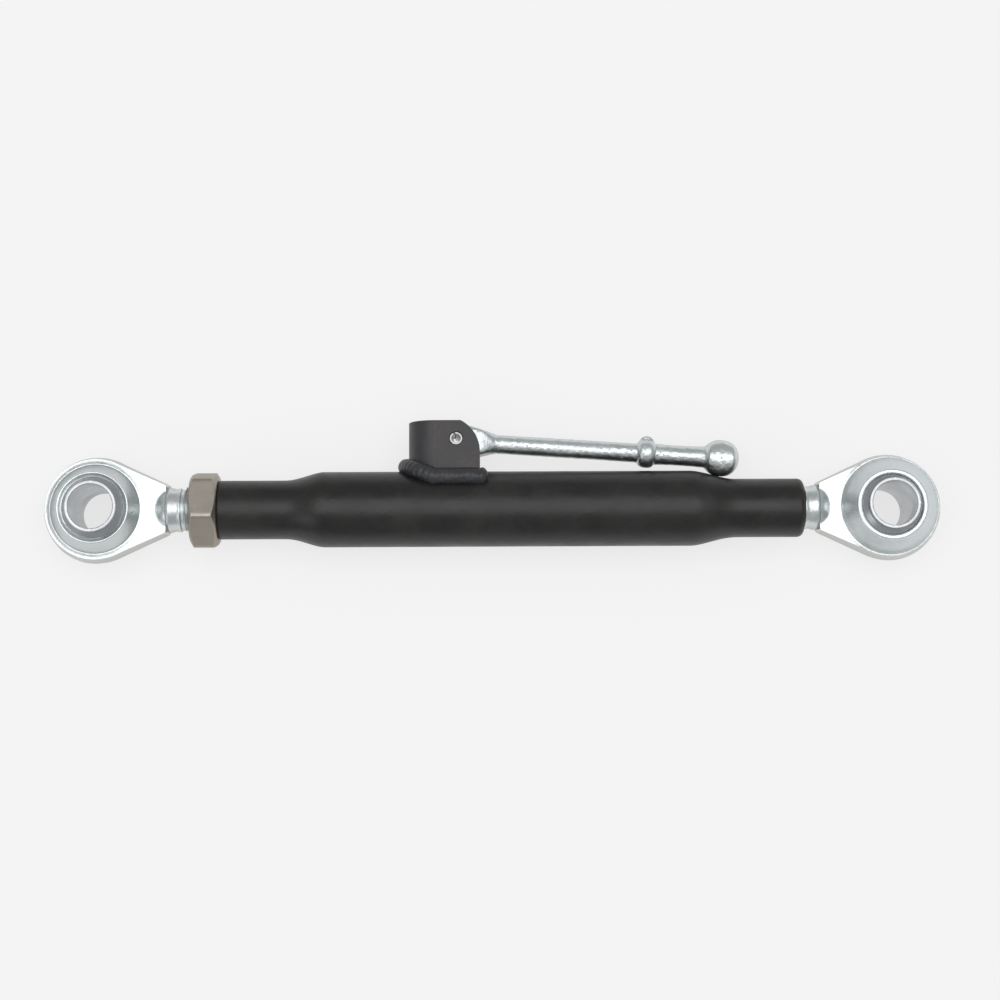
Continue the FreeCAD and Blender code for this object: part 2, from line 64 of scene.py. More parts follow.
# Lengths below are in millimetres, in the link's own frame: the left ball's centre is the origin,
# X runs to the right ball, Z is the axis of both ball bores and Y points to the handle.
MM = 0.001
BORE = 12.85
SOCKET = 25.05
MOUTH = (17.68, 17.746)
RIM, HALF_WEB = 31.0, 8.5
TIP_REACH, TIP_HALF = 42.6, 14.2
NECK, NOSE_REACH, NOSE_RADIUS = 13.3, 33.6, 10.5
SHANK_END, PITCH = 224.0, 3.0
NUT_START, NUT_HEIGHT, NUT_HALF_FLATS, NUT_FACE = 54.8, 16.0, 20.5, 19.3
BARREL_START, BARREL_END = 70.8, 411.3
LINK_LENGTH = 461.1
PIN_X, PIN_Y, HANDLE_SLOPE = 209.1, 39.8, math.radians(3.85)
TAU = 2 * math.pi


# ---------------------------------------------------------------- surfaces


def smooth_min(a, b, k):
    """The lesser of two heights, with a rounded valley k wide where they cross."""
    h = np.clip(0.5 + 0.5 * (b - a) / k, 0, 1)
    return b + (a - b) * h - k * h * (1 - h)


def smooth_max(a, b, k):
    """The greater of two heights, with a rounded crest k wide where they cross."""
    return -smooth_min(-a, -b, k)


def smooth_step(a, b, x):
    """0 before a, 1 after b, and a smooth S between."""
    t = np.clip((x - a) / (b - a), 0, 1)
    return t * t * (3 - 2 * t)


def ripple(seed, *where):
    """Sum of six slow sine waves through the given coordinates, with amplitude about 1."""
    rng = np.random.default_rng(seed)
    total = 0.0
    for n in range(6):
        waves = rng.normal(size=len(where)) * (0.7 + 0.45 * n)
        phase = rng.uniform(0, TAU)
        total = total + np.sin(sum(w * p for w, p in zip(waves, where)) + phase) / (1 + 0.5 * n)
    return total / 2.2


def mesh_from_grid(grid, around=True, along=False):
    """Points and quads of a grid of points, rows by columns.

    Columns close on themselves when around is set, and rows when along is set.  Open rows are
    closed by a fan to the middle of their first and last row.
    """
    rows, columns = grid.shape[:2]
    index = np.arange(rows * columns).reshape(rows, columns)
    if around:
        index = np.concatenate([index, index[:, :1]], axis=1)
    if along:
        index = np.concatenate([index, index[:1]], axis=0)
    quads = np.stack(
        [index[:-1, :-1], index[:-1, 1:], index[1:, 1:], index[1:, :-1]], axis=-1
    ).reshape(-1, 4)
    points = grid.reshape(-1, 3)
    fans = np.empty((0, 3), dtype=int)
    if around and not along:
        poles = np.stack([grid[0].mean(axis=0), grid[-1].mean(axis=0)])
        first, last = len(points), len(points) + 1
        points = np.concatenate([points, poles])
        start = np.stack([index[0, 1:], index[0, :-1], np.full(columns, first)], axis=-1)
        end = np.stack([index[-1, :-1], index[-1, 1:], np.full(columns, last)], axis=-1)
        fans = np.concatenate([start, end])
    return points, quads, fans


def make_piece(name, parts, material, body, crease=35.0):
    """One object from several closed grids, each as (points, quads, triangles)."""
    points, loops, sizes, shift = [], [], [], 0
    for part_points, quads, fans in parts:
        points.append(part_points * MM)
        loops += [(quads + shift).ravel(), (fans + shift).ravel()]
        sizes += [np.full(len(quads), 4), np.full(len(fans), 3)]
        shift += len(part_points)
    points, loops, sizes = (np.concatenate(a) for a in (points, loops, sizes))
    mesh = bpy.data.meshes.new(name)
    mesh.vertices.add(len(points))
    mesh.vertices.foreach_set("co", points.astype(np.float32).ravel())
    mesh.loops.add(len(loops))
    mesh.loops.foreach_set("vertex_index", loops.astype(np.int32))
    mesh.polygons.add(len(sizes))
    starts = np.concatenate([[0], np.cumsum(sizes)[:-1]])
    mesh.polygons.foreach_set("loop_start", starts.astype(np.int32))
    mesh.update(calc_edges=True)
    mesh.validate()
    turn_outward(mesh)
    mesh.shade_smooth()
    mesh.set_sharp_from_angle(angle=math.radians(crease))
    made = bpy.data.objects.new(name, mesh)
    bpy.context.scene.collection.objects.link(made)
    mesh.materials.append(material)
    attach(made, body)
    return made


def turn_outward(mesh):
    """Point the faces of every closed shell outwards."""
    work = bmesh.new()
    work.from_mesh(mesh)
    bmesh.ops.recalc_face_normals(work, faces=work.faces)
    work.to_mesh(mesh)
    work.free()


def lathe_x(x, r, columns=128, wobble=None):
    """Turned surface about the X axis: r is one radius for each x, or r(x, angle)."""
    angle = np.arange(columns) * TAU / columns
    x = np.asarray(x, dtype=float)[:, None]
    radius = np.asarray(r, dtype=float)
    radius = radius[:, None] if radius.ndim == 1 else radius
    if wobble is not None:
        radius = radius + wobble(x, angle[None, :])
    radius = np.broadcast_to(radius, (len(x), columns))
    return np.stack(
        [np.broadcast_to(x, radius.shape), radius * np.cos(angle), radius * np.sin(angle)], axis=-1
    )


def rounded_path(corners, step=0.35):
    """Closed profile through corners given as (along, out, rounding): each corner is an arc.

    Every rounded corner is a quadratic curve from the rounding's length before the corner to
    the same length after it.
    """
    spots = np.array([c[:2] for c in corners], dtype=float)
    rounding = np.array([c[2] for c in corners], dtype=float)
    before, after = np.roll(spots, 1, axis=0) - spots, np.roll(spots, -1, axis=0) - spots
    before /= np.linalg.norm(before, axis=1, keepdims=True)
    after /= np.linalg.norm(after, axis=1, keepdims=True)
    run = []
    for spot, back, on, radius in zip(spots, before, after, rounding):
        if radius <= 0:
            run.append(spot[None])
            continue
        t = np.linspace(0, 1, max(4, int(radius / step) + 3))[:, None]
        a, b = spot + back * radius, spot + on * radius
        run.append((1 - t) ** 2 * a + 2 * t * (1 - t) * spot + t**2 * b)
    return np.concatenate(run)


def turn_about_x(points, angle):
    """Points turned about the X axis by an angle in radians."""
    c, s = math.cos(angle), math.sin(angle)
    x, y, z = points[..., 0], points[..., 1], points[..., 2]
    return np.stack([x, c * y - s * z, s * y + c * z], axis=-1)


def eye_outline(angle):
    """Distance from the eye's axis to its outline in each direction.

    It is the rim's circle, and towards the shank the web that runs from the circle along
    straight tangents to its two tips; between them the web ends square, inside the neck.
    """
    reach = math.hypot(TIP_REACH, TIP_HALF)
    touch = math.acos(RIM / reach) + math.atan2(TIP_HALF, TIP_REACH)
    off = np.abs((angle + math.pi) % TAU - math.pi)
    tangent = RIM / np.cos(np.clip(off - touch, -1.2, 0))
    cut = TIP_REACH / np.cos(np.clip(off, 0, 1.2))
    return np.where(off < touch, smooth_min(tangent, cut, 1.0), RIM)


def eye_shell(boss, seed):
    """Forged eye, web and the root of the neck, as a height over each point round the eye.

    Each direction round the eye has one profile: from the socket's mouth over the swaged lip
    and down its cone to the flat web, out to the outline, down the drafted side to the parting
    line, and back on the other face in the same way; the spherical socket closes it.  Where the
    neck stands out of the web, the height is the smooth maximum of the web and the neck.
    """
    angle = np.arange(288) * TAU / 288
    outline = eye_outline(angle)[None, :]
    # The narrow boss has a funnel up to a thin crest; the wide one has a broad flat land.
    funnel = np.array([
        [17.68, 17.746], [18.2, 17.9], [18.9, 18.2], [19.5, 18.55], [19.95, 18.78], [20.3, 18.8],
        [20.65, 18.66], [20.9, 18.3],
    ])
    land = np.array([
        [17.68, 17.746], [17.75, 18.25], [17.95, 18.55], [18.4, 18.7], [19.3, 18.76], [19.9, 18.74],
        [20.3, 18.55], [20.5, 18.1],
    ])
    lip = funnel if boss < 2 else land
    cone = np.linspace(0, 1, 22)[1:]
    base = SOCKET + boss
    foot_r, foot_z = lip[-1]
    cone_r, cone_z = foot_r + (base - foot_r) * cone, foot_z + (HALF_WEB - foot_z) * cone
    # The rest of the face runs from the cone's foot to the side, at even shares of the way.
    share = np.linspace(0, 1, 30)[1:, None]
    edge = outline - 1.9
    face_r = base + (edge - base) * share
    inside_r = np.concatenate([lip[:, 0], cone_r])[:, None] * np.ones_like(outline)
    inside_z = np.concatenate([lip[:, 1], cone_z])[:, None] * np.ones_like(outline)
    r = np.concatenate([inside_r, face_r])
    z = np.concatenate([inside_z, np.full(face_r.shape, HALF_WEB)])
    # A soft fillet where the cone meets the flat.
    foot = 1.3 * np.exp(-(((r - base) / 1.5) ** 2))
    z = np.where(r > 21.6, z + 0.35 * foot, z)
    x, y = r * np.cos(angle), r * np.sin(angle)
    nose = np.clip(x - NOSE_REACH, 0, None)
    ahead = np.clip(NOSE_RADIUS - nose, 0, NOSE_RADIUS)
    body = NECK - NOSE_RADIUS + np.sqrt(np.clip(NOSE_RADIUS**2 - ahead**2, 0, None))
    body = np.where(nose > 0, body, 0)
    neck = np.sqrt(np.clip(body**2 - y**2, 0, None))
    z = np.where(r > base - 1, smooth_max(z, neck, 0.9), z)
    z = z + np.where(r > 22, 0.10, 0.04) * ripple(seed, x / 5, y / 5, z / 6)
    # Side: a drafted arc with a thin flash ridge on the parting line.
    level = np.concatenate([np.linspace(0.99, 0.1, 12), [0.05, 0.02, 0.0]])[:, None]
    top = z[-1][None, :]
    draft = 1.8 * (1 - level**1.7) + 0.12 * np.exp(-((level * 9 / 0.5) ** 2))
    corner = 0.5 * np.exp(-(((1 - level) / 0.06) ** 2))
    side_r = outline - 1.9 + draft - 0.4 * corner
    side_r = side_r + 0.10 * ripple(
        seed + 1, side_r * np.cos(angle) / 7, side_r * np.sin(angle) / 7)
    side_z = top * level
    r = np.concatenate([r, side_r])
    z = np.concatenate([z, side_z])
    under_r, under_z = r[:-1][::-1], -z[:-1][::-1]
    slope = np.linspace(-MOUTH[1], MOUTH[1], 28)[1:-1][:, None] * np.ones_like(outline)
    wall = np.sqrt(SOCKET**2 - slope**2)
    r = np.concatenate([r, under_r, wall])
    z = np.concatenate([z, under_z, slope])
    return np.stack([r * np.cos(angle), r * np.sin(angle), z], axis=-1)


def shank_shell(hand, seed):
    """Neck, run-out groove and threaded shank: radius over length and angle.

    The thread is a truncated V ridge: its height follows the distance from the nearest turn of
    the helix, whose phase is length / pitch minus or plus angle / full turn by its hand.
    """
    x = np.concatenate([
        np.linspace(40.0, 49.2, 26), np.linspace(49.4, 52.0, 14),
        np.arange(52.2, SHANK_END - 2.4, PITCH / 8), np.linspace(SHANK_END - 2.2, SHANK_END, 8),
    ])
    columns = 80
    angle = np.arange(columns) * TAU / columns
    grid_x, grid_a = x[:, None], angle[None, :]
    phase = (grid_x / PITCH - hand * grid_a / TAU) % 1.0
    ridge = np.clip(np.abs(phase - 0.5) * 2 * 1.35 - 0.22, 0, 1)
    thread = 13.5 - 1.75 * ridge
    run_in = smooth_step(51.1, 52.4, grid_x)
    run_out = smooth_step(SHANK_END, SHANK_END - 2.2, grid_x)
    thread = 12.0 + (thread - 12.0) * run_in
    thread = np.minimum(thread, 11.4 + 2.4 * run_out)
    waist = 0.9 * np.exp(-(((grid_x - 46.8) / 2.6) ** 2))
    neck = NECK - waist - 1.25 * smooth_step(49.0, 49.9, grid_x)
    # The front end sinks inside the eye's web, which carries the neck up to its tips.
    neck = neck - 1.2 * smooth_step(TIP_REACH, 40.0, grid_x)
    radius = np.where(grid_x < 51.1, neck, np.maximum(thread, 11.5))
    rough = 0.16 * ripple(seed, grid_x / 2.2, 3.5 * np.cos(grid_a), 3.5 * np.sin(grid_a))
    radius = radius + rough * smooth_step(49.4, 48.4, grid_x)
    return lathe_x(x, radius, columns)


def place_end(grid, right):
    """A ball end's points where they belong: the right one is turned half round about Z."""
    if not right:
        return grid
    return grid * np.array([-1, -1, 1]) + np.array([LINK_LENGTH, 0, 0])


def ball_shell():
    """Swivel ball: a profile of bore, rounded collar faces and sphere, turned about Z."""
    face, collar, ball = 25.5, 14.7, 25.0
    seat = math.sqrt(ball**2 - collar**2)
    up = rounded_path([
        (face - 1.0, BORE, 0), (face, BORE, 0.6), (face, collar, 0.45), (face - 1.0, collar, 0)
    ])[:-1]
    tilt = np.linspace(math.asin(seat / ball), -math.asin(seat / ball), 60)
    sphere = np.stack([ball * np.sin(tilt), ball * np.cos(tilt)], axis=-1)
    flip = np.array([-1, 1])
    down = (up * flip)[::-1]
    bore = np.stack([np.linspace(-face + 1.2, face - 1.2, 6), np.full(6, BORE)], axis=-1)
    profile = np.concatenate([up, sphere, down, bore])
    angle = np.arange(144) * TAU / 144
    z, r = profile[:, :1], profile[:, 1:]
    return np.stack([r * np.cos(angle), r * np.sin(angle), z + 0 * angle], axis=-1)


def nut_shell():
    """Lock nut: the smooth minimum of a rounded hexagon and the two bevel cones, with a bore."""
    edge = np.concatenate([np.linspace(0, 2.9, 16), [4.0, 6.5]])
    x = np.concatenate([edge, [NUT_HEIGHT / 2], (NUT_HEIGHT - edge)[::-1]])
    angle = np.arange(360) * TAU / 360
    wedge = (angle + math.pi / 6) % (math.pi / 3) - math.pi / 6
    hexagon = NUT_HALF_FLATS / np.cos(wedge)
    hexagon = smooth_min(hexagon, np.full_like(hexagon, 23.25), 0.7)
    from_end = np.minimum(x, NUT_HEIGHT - x)[:, None]
    cone = NUT_FACE + from_end / math.tan(math.radians(30.0))
    outer = smooth_min(hexagon[None, :], cone, 0.55)
    outer = outer + 0.05 * ripple(61, x[:, None] / 6, 3 * np.cos(angle), 3 * np.sin(angle))
    inner_x = np.array([NUT_HEIGHT, NUT_HEIGHT, NUT_HEIGHT - 1.2, 1.2, 0.0, 0.0])
    inner_r = np.array([18.9, 14.78, 13.58, 13.58, 14.78, 18.9])
    radius = np.concatenate([outer, inner_r[:, None] * np.ones((1, 360))])
    along = np.concatenate([x, inner_x])
    grid = lathe_x(along, radius, 360) + np.array([NUT_START, 0, 0])
    return turn_about_x(grid, math.radians(-15.7) + math.pi / 2)


def barrel_shell():
    """Barrel: radius over length, necked by an S curve to both ends, with its stepped bore.

    A slow ripple stands for the uneven draw of the swaging, strongest on the two shoulders.
    """
    length = BARREL_END - BARREL_START
    x = np.concatenate([
        np.linspace(0.8, 4, 6), np.linspace(5, 38, 24), np.linspace(39, 70, 44),
        np.linspace(73, length - 73, 90), np.linspace(length - 70, length - 39, 44),
        np.linspace(length - 38, length - 4, 24), np.linspace(length - 3.4, length - 2.9, 2),
    ])
    near = np.minimum(x, length - x)
    shoulder = np.where(x < length / 2, smooth_step(39, 63, x), smooth_step(39, 67, length - x))
    radius = 17.1 + 4.9 * shoulder
    angle = np.arange(144) * TAU / 144
    grow = 0.05 + 0.16 * np.exp(-(((near - 56) / 16) ** 2))[:, None]
    draw = ripple(7, x[:, None] / 16, 1.6 * np.cos(angle), 1.6 * np.sin(angle))
    radius = radius[:, None] + grow * draw
    radius = np.clip(radius, 0, 22.0)
    flat = np.ones((1, 144))
    right = np.array([
        [length - 1.6, 16.75], [length - 0.7, 16.05], [length - 0.15, 15.1], [length, 14.4],
    ])
    inside = np.array([
        [length, 13.7], [length - 0.5, 13.62], [length - 44, 13.62], [length - 48, 16.5],
        [48.0, 16.5], [44.0, 13.62], [0.5, 13.62], [0.0, 13.7], [0.0, 16.3], [0.25, 16.8],
    ])
    along = np.concatenate([x, right[:, 0], inside[:, 0]])
    radius = np.concatenate([radius, right[:, 1:] * flat, inside[:, 1:] * flat])
    return lathe_x(along, radius, 144) + np.array([BARREL_START, 0, 0])


def weld_shell():
    """Weld bead: a lumpy round section carried along a U round the bracket's foot.

    The path runs back along one cheek, round the bend, where it climbs, and forward along the
    other cheek.  The section swells and shrinks with each pass of the rod, and the passes lean
    backwards on the outside of the bead.
    """
    offset, radius, height = 16.4, 4.8, 17.4
    bend_x, front_x = PIN_X - 27.7 + 15.0, PIN_X + 13.8 + 1.0
    run = front_x - bend_x
    total = 2 * run + math.pi * offset
    s = np.linspace(-radius * 0.8, total + radius * 0.8, 420)
    t = np.clip((s - run) / (math.pi * offset), 0, 1) * math.pi
    over = np.where(s < run, run - s, np.where(s > total - run, s - (total - run), 0))
    px = bend_x + over - offset * np.sin(t) * np.where(over > 0, 0, 1)
    pz = offset * np.cos(t)
    climb = math.tan(math.radians(23.0))
    py = height + np.clip(bend_x - px, 0, None) * climb
    path = np.stack([px, py, pz], axis=-1)
    ahead = np.gradient(path, axis=0)
    ahead /= np.linalg.norm(ahead, axis=1, keepdims=True)
    up = np.tile([0.0, 1.0, 0.0], (len(s), 1))
    side = np.cross(ahead, up)
    side /= np.linalg.norm(side, axis=1, keepdims=True)
    up = np.cross(side, ahead)
    angle = np.arange(56) * TAU / 56
    lean = s[:, None] + 1.3 * np.cos(angle) + 0.5 * ripple(3, s[:, None] / 5, np.cos(angle))
    passes = np.abs(np.sin(lean * math.pi / 2.9)) ** 0.7
    pits = ripple(11, s[:, None] / 2.6, 1.8 * np.cos(angle), 1.8 * np.sin(angle))
    lump = 0.34 * passes - 0.25 + 0.26 * pits
    end = np.minimum(s + radius * 0.8, total + radius * 0.8 - s) / (radius * 0.8)
    close = np.sqrt(np.clip(1 - (1 - np.clip(end, 0, 1)) ** 2, 0.0004, 1))[:, None]
    section = (radius + lump) * close
    across = section * np.cos(angle)
    rise = section * np.sin(angle)
    return path[:, None] + side[:, None] * across[..., None] + up[:, None] * rise[..., None]


def handle_frame(points):
    """Points drawn straight from the pin along X, laid where the folded handle lies."""
    c, s = math.cos(HANDLE_SLOPE), math.sin(HANDLE_SLOPE)
    x, y, z = points[..., 0], points[..., 1], points[..., 2]
    return np.stack([PIN_X + c * x + s * y, PIN_Y - s * x + c * y, z], axis=-1)


def handle_shell():
    """Forged handle: a superellipse section carried from behind the pin to the knob's end.

    Half height, half thickness and squareness are all functions of the length: a flat tongue
    that narrows into a round shaft, a collar, a waisted grip and a ball knob that is a little
    fuller than a sphere.
    """
    x = np.concatenate([
        -9 * np.cos(np.linspace(0.02, math.pi / 2, 26)), np.linspace(0.4, 26, 64)[1:],
        np.linspace(26.5, 105, 140), np.linspace(105.2, 117.5, 42), np.linspace(118, 138, 36),
        np.linspace(138.3, 155.2, 44),
        155.2 + 10.7 * np.sin(np.linspace(0.02, math.pi / 2 - 0.02, 34)),
    ])
    back = np.sqrt(np.clip(81 - np.clip(-x, 0, None) ** 2, 0, None))
    taper = 9 + (5.45 - 9) * np.clip((x - 7.5) / 16.5, 0, 1)
    shaft = 4.9 + (5.25 - 4.9) * np.clip((x - 24) / 83, 0, 1)
    half = smooth_max(np.where(x < 0, back, taper), shaft, 0.8)
    grip = 5.85 + 0.30 * ((x - 130) / 14) ** 2
    half = np.where(x > 116.2, np.minimum(grip, 6.3), half)
    swell = np.clip(1 - np.abs((x - 111.4) / 5.1) ** 2.6, 0, None) ** 0.5 * 3.35
    half = smooth_max(half, 5.0 + swell, 0.5)
    ball = np.clip(1 - np.abs((x - 155.2) / 10.75) ** 2.25, 0, None) ** 0.47 * 10.7
    half = np.where(x > 135, smooth_max(half * smooth_step(159, 150, x), ball, 1.6), half)
    flatness = smooth_step(25.5, 9.0, x)
    tongue = 8.7
    thick = half * (1 - flatness) + tongue * flatness
    thick = np.where(x < 12, tongue, np.minimum(thick, tongue))
    power = 2 + 7 * smooth_step(23.5, 8.0, x)[:, None]
    angle = (np.arange(112) * TAU / 112)[None, :]
    c, s = np.cos(angle), np.sin(angle)
    scale = (np.abs(c) ** power + np.abs(s) ** power) ** (-1 / power)
    y, z = half[:, None] * scale * c, thick[:, None] * scale * s
    rough = 0.11 * ripple(21, x[:, None] / 3.2, y / 3, z / 3) + 0.06 * ripple(22, x[:, None], y, z)
    grow = 1 + rough / np.maximum(np.hypot(y, z), 3)
    return np.stack([x[:, None] + 0 * y, y * grow, z * grow], axis=-1)


def disc_shell(x, y, radius, half, rounding, columns=64):
    """Rounded disc with its axis along Z: a rounded half section turned about its middle."""
    edge = rounded_path([
        (-half, 0.0, 0), (-half, radius, rounding), (half, radius, rounding), (half, 0.0, 0),
    ])
    edge = edge[edge[:, 1] > 0.01]
    rows = np.concatenate([[[-half, radius * 0.3]], edge, [[half, radius * 0.3]]])
    angle = np.arange(columns) * TAU / columns
    z, r = rows[:, :1], rows[:, 1:]
    return np.stack([x + r * np.cos(angle), y + r * np.sin(angle), z + 0 * angle], axis=-1)


def ridge_shell(shift):
    """Raised line across the round shaft: a thin tube on a slanting path over its surface."""
    t = np.linspace(0, 1, 48)
    x, y = 27.0 + shift + 7.5 * t, -4.4 + 7.9 * t
    path = np.stack([x, y, np.sqrt(5.0**2 - y**2)], axis=-1)
    ahead = np.gradient(path, axis=0)
    ahead /= np.linalg.norm(ahead, axis=1, keepdims=True)
    side = np.cross(ahead, [0.0, 0.0, 1.0])
    side /= np.linalg.norm(side, axis=1, keepdims=True)
    up = np.cross(side, ahead)
    angle = np.arange(16) * TAU / 16
    close = np.sqrt(np.clip(1 - (2 * t - 1) ** 8, 0.0004, 1))[:, None]
    across = (0.5 * close * np.cos(angle))[..., None]
    rise = (0.5 * close * np.sin(angle))[..., None]
    return path[:, None] + side[:, None] * across + up[:, None] * rise


# ---------------------------------------------------------------- material parts


def node(tree, kind, **inputs):
    """Add a node and set its inputs: a socket is linked, anything else is a value."""
    made = tree.nodes.new(kind)
    for name, given in inputs.items():
        socket = made.inputs[int(name[1:])] if name[0] == "i" and name[1:].isdigit() else made.inputs[name]
        if isinstance(given, bpy.types.NodeSocket):
            tree.links.new(given, socket)
        else:
            socket.default_value = given
    return made


def maths(tree, operation, *values, clamp=False):
    made = tree.nodes.new("ShaderNodeMath")
    made.operation, made.use_clamp = operation, clamp
    for socket, given in zip(made.inputs, values):
        if isinstance(given, bpy.types.NodeSocket):
            tree.links.new(given, socket)
        else:
            socket.default_value = given
    return made.outputs[0]


def noise(tree, where, scale, detail=3.0, roughness=0.55, distortion=0.0):
    made = node(tree, "ShaderNodeTexNoise", Vector=where, Scale=scale, Detail=detail,
                Roughness=roughness, Distortion=distortion)
    return made.outputs["Fac"]


def spread(tree, value, low, high, out_low=0.0, out_high=1.0):
    """Map a value from low..high to out_low..out_high, clamped."""
    made = tree.nodes.new("ShaderNodeMapRange")
    tree.links.new(value, made.inputs["Value"])
    for name, given in (("From Min", low), ("From Max", high), ("To Min", out_low), ("To Max", out_high)):
        made.inputs[name].default_value = given
    return made.outputs["Result"]


def mix(tree, factor, a, b, blend="MIX"):
    """Mix two colours."""
    made = tree.nodes.new("ShaderNodeMix")
    made.data_type, made.blend_type = "RGBA", blend
    for socket, given in ((made.inputs[0], factor), (made.inputs[6], a), (made.inputs[7], b)):
        if isinstance(given, bpy.types.NodeSocket):
            tree.links.new(given, socket)
        else:
            socket.default_value = given
    return made.outputs[2]


def new_group(name, inputs, outputs):
    tree = bpy.data.node_groups.new(name, "ShaderNodeTree")
    for label, kind, default in inputs:
        socket = tree.interface.new_socket(label, in_out="INPUT", socket_type=kind)
        if default is not None:
            socket.default_value = default
    for label, kind in outputs:
        tree.interface.new_socket(label, in_out="OUTPUT", socket_type=kind)
    return tree, tree.nodes.new("NodeGroupInput"), tree.nodes.new("NodeGroupOutput")


def grain_group():
    """Pitted cast or blasted grain: a height in metres and a mask of its pits, from three noises."""
    tree, given, out = new_group(
        "surface_grain",
        [("Vector", "NodeSocketVector", None), ("Grain Size", "NodeSocketFloat", 1.0),
         ("Pitting", "NodeSocketFloat", 0.5)],
        [("Height", "NodeSocketFloat"), ("Pits", "NodeSocketFloat")],
    )
    scale = maths(tree, "DIVIDE", 1000.0, given.outputs["Grain Size"])
    fine = noise(tree, given.outputs["Vector"], scale, 3.0, 0.6)
    coarse = noise(tree, given.outputs["Vector"], maths(tree, "MULTIPLY", scale, 0.32), 2.0)
    dots = node(tree, "ShaderNodeTexVoronoi", Vector=given.outputs["Vector"],
                Scale=maths(tree, "MULTIPLY", scale, 0.62)).outputs["Distance"]
    pits = spread(tree, maths(tree, "ADD", dots, maths(tree, "MULTIPLY", coarse, 0.35)), 0.34, 0.18)
    pits = maths(tree, "MULTIPLY", pits, given.outputs["Pitting"])
    height = maths(tree, "ADD", maths(tree, "MULTIPLY", fine, 0.6), maths(tree, "MULTIPLY", coarse, 0.8))
    height = maths(tree, "SUBTRACT", height, pits)
    tree.links.new(height, out.inputs["Height"])
    tree.links.new(pits, out.inputs["Pits"])
    return tree


def edge_group():
    """Worn edges: a mask that is 1 where the surface is sharply convex, broken up by noise."""
    tree, given, out = new_group(
        "edge_wear",
        [("Vector", "NodeSocketVector", None), ("Reach", "NodeSocketFloat", 0.0008),
         ("Amount", "NodeSocketFloat", 1.0)],
        [("Wear", "NodeSocketFloat")],
    )
    point = tree.nodes.new("ShaderNodeNewGeometry").outputs["Pointiness"]
    edge = spread(tree, point, 0.51, 0.58)
    broken = spread(tree, noise(tree, given.outputs["Vector"], 420.0, 4.0, 0.65), 0.35, 0.62)
    wear = maths(tree, "MULTIPLY", edge, broken)
    wear = maths(tree, "MULTIPLY", wear, given.outputs["Amount"], clamp=True)
    tree.links.new(wear, out.inputs["Wear"])
    return tree


def floor_reflection_group():
    """How far a surface turns away from the bores' axis: 0 on faces along it, 1 on the flanks; it places the
    painted floor reflection.
    """
    tree, given, out = new_group(
        "floor_reflection_mask", [("Start", "NodeSocketFloat", 0.5)], [("Flank", "NodeSocketFloat")])
    normal = tree.nodes.new("ShaderNodeTexCoord").outputs["Normal"]
    split = node(tree, "ShaderNodeSeparateXYZ", Vector=normal)
    facing = maths(tree, "ABSOLUTE", split.outputs["Z"])
    flank = maths(tree, "DIVIDE", facing, given.outputs["Start"])
    flank = maths(tree, "SUBTRACT", 1.0, flank, clamp=True)
    tree.links.new(flank, out.inputs["Flank"])
    return tree


def dust_group():
    """Thin uneven dust and finger marks: a mask from two stretched noises."""
    tree, given, out = new_group(
        "handling_marks",
        [("Vector", "NodeSocketVector", None), ("Amount", "NodeSocketFloat", 0.5)],
        [("Marks", "NodeSocketFloat")],
    )
    broad = spread(tree, noise(tree, given.outputs["Vector"], 38.0, 4.0, 0.6, 0.6), 0.42, 0.7)
    specks = spread(tree, noise(tree, given.outputs["Vector"], 900.0, 2.0, 0.5), 0.66, 0.74)
    marks = maths(tree, "ADD", broad, specks)
    marks = maths(tree, "MULTIPLY", marks, given.outputs["Amount"], clamp=True)
    tree.links.new(marks, out.inputs["Marks"])
    return tree


GROUPS = {}


def group(tree, name, **inputs):
    made = tree.nodes.new("ShaderNodeGroup")
    made.node_tree = GROUPS[name]
    for label, given in inputs.items():
        socket = made.inputs[label.replace("_", " ")]
        if isinstance(given, bpy.types.NodeSocket):
            tree.links.new(given, socket)
        else:
            socket.default_value = given
    return made


def shade(hue, lift=1.0):
    return (hue[0] * lift, hue[1] * lift, hue[2] * lift, 1.0)


def new_material(name):
    made = bpy.data.materials.new(name)
    made.use_nodes = True
    tree = made.node_tree
    tree.nodes.clear()
    shader = tree.nodes.new("ShaderNodeBsdfPrincipled")
    out = tree.nodes.new("ShaderNodeOutputMaterial")
    tree.links.new(shader.outputs[0], out.inputs[0])
    where = tree.nodes.new("ShaderNodeTexCoord").outputs["Object"]
    return made, tree, shader, where


def bump(tree, shader, height, depth, strength=1.0):
    """Feed a height into the shader's normal; depth is the height's unit in metres."""
    made = node(tree, "ShaderNodeBump", Height=height, Distance=depth, Strength=strength)
    tree.links.new(made.outputs[0], shader.inputs["Normal"])


